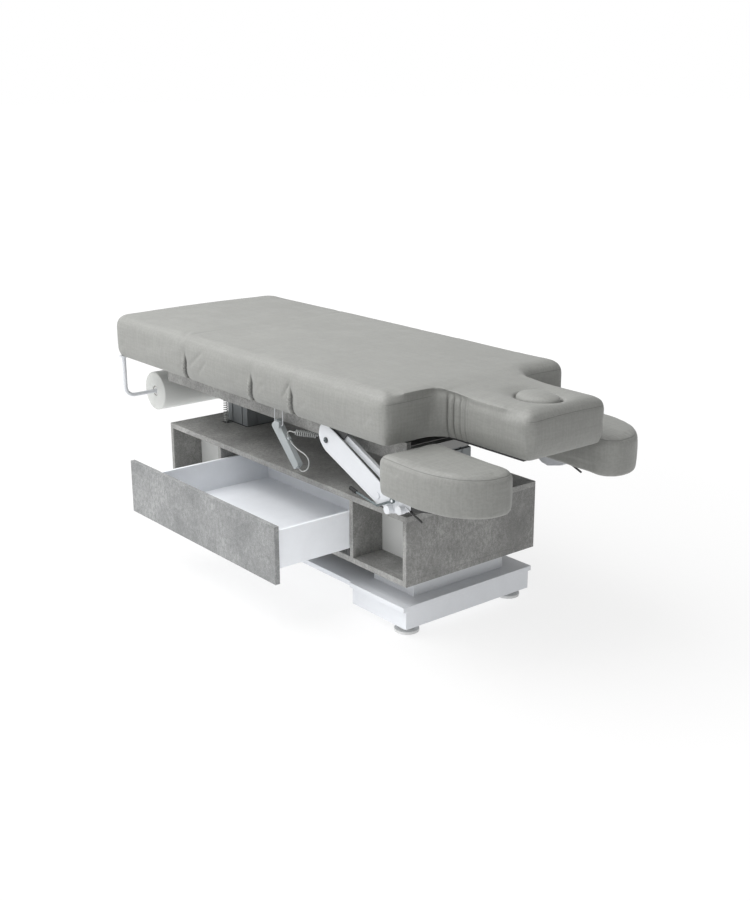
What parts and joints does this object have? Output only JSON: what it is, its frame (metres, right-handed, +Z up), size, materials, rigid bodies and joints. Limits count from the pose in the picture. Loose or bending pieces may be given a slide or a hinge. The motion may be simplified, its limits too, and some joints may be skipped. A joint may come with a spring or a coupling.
{
  "type": "spa treatment bed with cabinet base",
  "caption": "Motorised spa bed on telescopic columns over a drawer cabinet, with folding upholstered top, face hole, armrests, paper roll holder and corded handset.",
  "frame": {"origin": "middle of the footprint box, on the floor, with the drawer open as it is stored", "axes": "+X along the bed towards the head end, +Y away from the drawer, +Z up"},
  "size_m": [2.1704, 1.041, 0.849],
  "materials": {
    "upholstery": "satin",
    "concrete_laminate": "matte",
    "white_plastic": "satin",
    "drawer_white": "satin",
    "foot_plastic": "matte",
    "white_steel": "satin",
    "frame_steel": "satin",
    "bright_steel": "satin",
    "column_aluminium": "satin",
    "black_plastic": "matte",
    "handset_plastic": "satin",
    "key_plastic": "satin",
    "cord_plastic": "satin",
    "paper": "matte"
  },
  "bodies": {
    "base": {"base_frame": "white_plastic", "levelling_foot_far_head": "foot_plastic", "levelling_foot_far_foot": "foot_plastic", "levelling_foot_near_head": "foot_plastic", "levelling_foot_near_foot": "foot_plastic", "cabinet_bottom": "concrete_laminate", "cabinet_top": "concrete_laminate", "cabinet_end_head": "concrete_laminate", "cabinet_end_foot": "concrete_laminate", "cabinet_divider_head": "concrete_laminate", "cabinet_divider_foot": "concrete_laminate", "cabinet_back_panel": "concrete_laminate", "column_outer_tube_head": "column_aluminium", "column_outer_tube_foot": "column_aluminium", "drawer_runners": "bright_steel", "control_box": "black_plastic"},
    "middle_stages": {"column_middle_tube_head": "column_aluminium", "column_middle_tube_foot": "column_aluminium"},
    "top_frame": {"side_board_near": "concrete_laminate", "side_board_far": "concrete_laminate", "subframe": "white_steel", "column_inner_tube_head": "column_aluminium", "column_inner_tube_foot": "column_aluminium", "back_actuator": "black_plastic", "leg_actuator": "black_plastic", "handset_hook": "bright_steel", "handset_socket": "black_plastic", "seat_cushion": "upholstery", "lift_cable": "cord_plastic", "handset_cord": "cord_plastic", "handset_curl": "cord_plastic", "thigh_fold": "upholstery", "back_fold": "upholstery"},
    "drawer": {"drawer_front": "concrete_laminate", "drawer_box": "drawer_white"},
    "thigh_part": {"thigh_frame": "frame_steel", "thigh_cushion": "upholstery"},
    "leg_part": {"leg_frame": "frame_steel", "leg_cushion": "upholstery", "roll_holder": "white_steel"},
    "roll": {"paper_roll": "paper"},
    "back_part": {"back_frame": "frame_steel", "back_cushion": "upholstery"},
    "plug": {"face_plug": "upholstery"},
    "back_rod": {"back_actuator_rod": "bright_steel"},
    "leg_rod": {"leg_actuator_rod": "bright_steel"},
    "hand_control": {"handset": "handset_plastic"},
    "key_1": {"rocker_key_1": "key_plastic"},
    "key_2": {"rocker_key_2": "key_plastic"},
    "key_3": {"rocker_key_3": "key_plastic"},
    "arm_near": {"arm_plate_near": "white_steel"},
    "link_near": {"arm_link_near": "white_steel"},
    "armrest_near": {"pad_carrier_near": "white_steel", "arm_pad_near": "upholstery"},
    "lever_near": {"lock_lever_near": "bright_steel"},
    "arm_far": {"arm_plate_far": "white_steel"},
    "link_far": {"arm_link_far": "white_steel"},
    "armrest_far": {"pad_carrier_far": "white_steel", "arm_pad_far": "upholstery"},
    "lever_far": {"lock_lever_far": "bright_steel"}
  },
  "joints": [
    {"name": "lift", "type": "slide", "parent": "base", "child": "top_frame", "axis": [0, 0, 1], "range_m": [-0.1, 0.2], "deforming": ["lift_cable"]},
    {"name": "middle_stage_slide", "type": "slide", "parent": "base", "child": "middle_stages", "axis": [0, 0, 1], "range_m": [-0.05, 0.1]},
    {"name": "drawer_slide", "type": "slide", "parent": "base", "child": "drawer", "axis": [0, -1, 0], "range_m": [-0.292, 0.12]},
    {"name": "thigh_hinge", "type": "hinge", "parent": "top_frame", "child": "thigh_part", "pos_m": [-0.04466, 0.0825, 0.668], "axis": [0, 1, 0], "range_deg": [0, 25], "deforming": ["thigh_fold"]},
    {"name": "leg_hinge", "type": "hinge", "parent": "thigh_part", "child": "leg_part", "pos_m": [-0.48466, 0.0825, 0.668], "axis": [0, 1, 0], "range_deg": [-25, 0]},
    {"name": "roll_spin", "type": "hinge", "parent": "leg_part", "child": "roll", "pos_m": [-1.00466, 0.0825, 0.512], "axis": [0, 1, 0], "continuous": true},
    {"name": "back_hinge", "type": "hinge", "parent": "top_frame", "child": "back_part", "pos_m": [0.19534, 0.0825, 0.668], "axis": [0, -1, 0], "range_deg": [0, 60], "deforming": ["back_fold"]},
    {"name": "plug_lift", "type": "slide", "parent": "back_part", "child": "plug", "axis": [0, 0, 1], "range_m": [0, 0.11]},
    {"name": "back_rod_slide", "type": "slide", "parent": "top_frame", "child": "back_rod", "axis": [1, 0, 0], "range_m": [0, 0.042]},
    {"name": "leg_rod_slide", "type": "slide", "parent": "top_frame", "child": "leg_rod", "axis": [-1, 0, 0], "range_m": [0, 0.021]},
    {"name": "handset_lift_off", "type": "slide", "parent": "top_frame", "child": "hand_control", "axis": [0, 0, 1], "range_m": [0, 0.03], "deforming": ["handset_cord"]},
    {"name": "key_1_rock", "type": "hinge", "parent": "hand_control", "child": "key_1", "pos_m": [0.04018, -0.2417, 0.57784], "axis": [0.7278, 0, 0.6858], "range_deg": [-5, 5], "stiffness_Nm_per_rad": 0.08},
    {"name": "key_2_rock", "type": "hinge", "parent": "hand_control", "child": "key_2", "pos_m": [0.06212, -0.2417, 0.55456], "axis": [0.7278, 0, 0.6858], "range_deg": [-5, 5], "stiffness_Nm_per_rad": 0.08},
    {"name": "key_3_rock", "type": "hinge", "parent": "hand_control", "child": "key_3", "pos_m": [0.08407, -0.2417, 0.53127], "axis": [0.7278, 0, 0.6858], "range_deg": [-5, 5], "stiffness_Nm_per_rad": 0.08},
    {"name": "arm_hinge_near", "type": "hinge", "parent": "back_part", "child": "arm_near", "pos_m": [0.34034, -0.2765, 0.6235], "axis": [0, -1, 0], "range_deg": [0, 26.5]},
    {"name": "link_hinge_near", "type": "hinge", "parent": "back_part", "child": "link_near", "pos_m": [0.41034, -0.2565, 0.6535], "axis": [0, -1, 0], "range_deg": [0, 26.5]},
    {"name": "armrest_level_near", "type": "hinge", "parent": "arm_near", "child": "armrest_near", "pos_m": [0.60878, -0.2675, 0.50116], "axis": [0, -1, 0], "range_deg": [-26.5, 0]},
    {"name": "lock_lever_hinge_near", "type": "hinge", "parent": "armrest_near", "child": "lever_near", "pos_m": [0.69028, -0.286, 0.50647], "axis": [0, 1, 0], "range_deg": [0, 10], "stiffness_Nm_per_rad": 2, "springref_deg": -9.74},
    {"name": "arm_hinge_far", "type": "hinge", "parent": "back_part", "child": "arm_far", "pos_m": [0.34034, 0.4415, 0.6235], "axis": [0, -1, 0], "range_deg": [0, 22.5]},
    {"name": "link_hinge_far", "type": "hinge", "parent": "back_part", "child": "link_far", "pos_m": [0.41034, 0.4215, 0.6535], "axis": [0, -1, 0], "range_deg": [0, 22.5]},
    {"name": "armrest_level_far", "type": "hinge", "parent": "arm_far", "child": "armrest_far", "pos_m": [0.61666, 0.4325, 0.52019], "axis": [0, -1, 0], "range_deg": [-22.5, 0]},
    {"name": "lock_lever_hinge_far", "type": "hinge", "parent": "armrest_far", "child": "lever_far", "pos_m": [0.69816, 0.451, 0.52549], "axis": [0, 1, 0], "range_deg": [0, 10], "stiffness_Nm_per_rad": 2, "springref_deg": -9.74}
  ],
  "couplings": [
    {"joint": "middle_stage_slide", "follows": "lift", "ratio": 0.5},
    {"joint": "leg_hinge", "follows": "thigh_hinge", "ratio": -1},
    {"joint": "back_rod_slide", "follows": "back_hinge", "m_per_rad": 0.0397},
    {"joint": "leg_rod_slide", "follows": "thigh_hinge", "m_per_rad": 0.0465},
    {"joint": "link_hinge_near", "follows": "arm_hinge_near", "ratio": 1},
    {"joint": "armrest_level_near", "follows": "arm_hinge_near", "ratio": -1},
    {"joint": "link_hinge_far", "follows": "arm_hinge_far", "ratio": 1},
    {"joint": "armrest_level_far", "follows": "arm_hinge_far", "ratio": -1}
  ]
}
